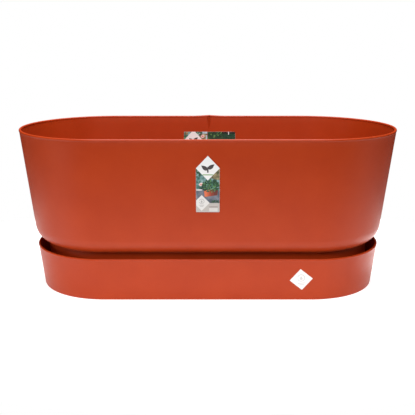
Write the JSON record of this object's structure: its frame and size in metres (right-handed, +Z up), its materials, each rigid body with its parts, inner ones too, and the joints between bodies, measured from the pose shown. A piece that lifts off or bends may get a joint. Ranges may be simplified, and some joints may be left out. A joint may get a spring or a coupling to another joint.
{
  "type": "self watering planter",
  "caption": "Long planting trough with round ends that stands in a water tray, with perforated felt-wicked cups under its floor and a drain plug.",
  "frame": {"origin": "middle of the water tray's underside, on the ground", "axes": "+X along the trough, +Z up, and the labelled front faces -Y"},
  "size_m": [0.59, 0.275, 0.25],
  "materials": {
    "terracotta_plastic": "fine matt moulded texture, through-coloured",
    "cup_plastic": "fine matt",
    "wick_felt": "needled felt",
    "plug_rubber": "matt",
    "label_card": "printed, satin varnish",
    "leaflet_paper": "printed, satin",
    "sticker_paper": "printed, satin",
    "glue": "clear tacky gel"
  },
  "bodies": {
    "saucer": {"reservoir_saucer": "terracotta_plastic", "saucer_sticker": "sticker_paper"},
    "plug": {"drain_plug": "plug_rubber"},
    "trough": {"planter_trough": "terracotta_plastic", "front_label": "label_card", "front_label_glue": "glue", "care_leaflet_cover": "leaflet_paper", "care_leaflet_glue": "glue"},
    "leaflet_leaf": {"care_leaflet_back": "leaflet_paper"},
    "cup_1": {"wick_cup_1": "cup_plastic", "capillary_wick_1": "wick_felt"},
    "cup_2": {"wick_cup_2": "cup_plastic", "capillary_wick_2": "wick_felt"},
    "cup_3": {"wick_cup_3": "cup_plastic", "capillary_wick_3": "wick_felt"},
    "cup_4": {"wick_cup_4": "cup_plastic", "capillary_wick_4": "wick_felt"}
  },
  "joints": [
    {"name": "trough_lift", "type": "slide", "parent": "saucer", "child": "trough", "axis": [0, 0, 1], "range_m": [0, 0.1]},
    {"name": "plug_pull", "type": "slide", "parent": "saucer", "child": "plug", "axis": [0, 1, 0], "range_m": [0, 0.025]},
    {"name": "leaflet_fold", "type": "hinge", "parent": "trough", "child": "leaflet_leaf", "pos_m": [-0.0005, 0.12551, 0.17811], "axis": [0, -0.1132, -0.9936], "range_deg": [0, 172]},
    {"name": "cup_lift_1", "type": "slide", "parent": "trough", "child": "cup_1", "axis": [0, 0, 1], "range_m": [0, 0.08]},
    {"name": "cup_lift_2", "type": "slide", "parent": "trough", "child": "cup_2", "axis": [0, 0, 1], "range_m": [0, 0.08]},
    {"name": "cup_lift_3", "type": "slide", "parent": "trough", "child": "cup_3", "axis": [0, 0, 1], "range_m": [0, 0.08]},
    {"name": "cup_lift_4", "type": "slide", "parent": "trough", "child": "cup_4", "axis": [0, 0, 1], "range_m": [0, 0.08]}
  ]
}
